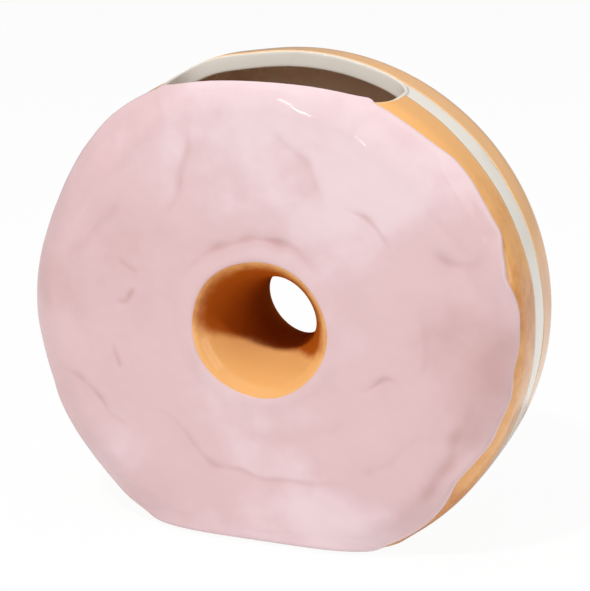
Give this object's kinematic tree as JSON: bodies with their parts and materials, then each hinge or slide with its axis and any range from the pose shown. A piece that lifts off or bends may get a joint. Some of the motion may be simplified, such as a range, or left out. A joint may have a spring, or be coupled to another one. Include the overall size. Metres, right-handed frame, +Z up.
{
  "type": "vase",
  "caption": "Hollow flower vase in the shape of an iced ring bun standing on edge, with a mouth in the top of its rim, a round hole through the middle and a flat foot.",
  "frame": {"origin": "on the floor, under the middle of the ring, halfway between the icing's face and the rear face", "axes": "+Z up, the iced face looks towards -Y, +X to the right when looking at the icing, the hole runs along Y"},
  "size_m": [0.2, 0.075, 0.1878],
  "materials": {
    "dough_glaze": "gloss",
    "rear_glaze": "gloss",
    "cream_glaze": "gloss",
    "icing_glaze": "gloss",
    "bare_clay": "matte"
  },
  "bodies": {
    "root": {"front_shell": "dough_glaze", "rear_shell": "rear_glaze", "cream_band": "cream_glaze", "centre_tube": "dough_glaze", "icing": "icing_glaze", "mouth_lip": "cream_glaze", "foot_ring": "bare_clay"}
  },
  "joints": []
}
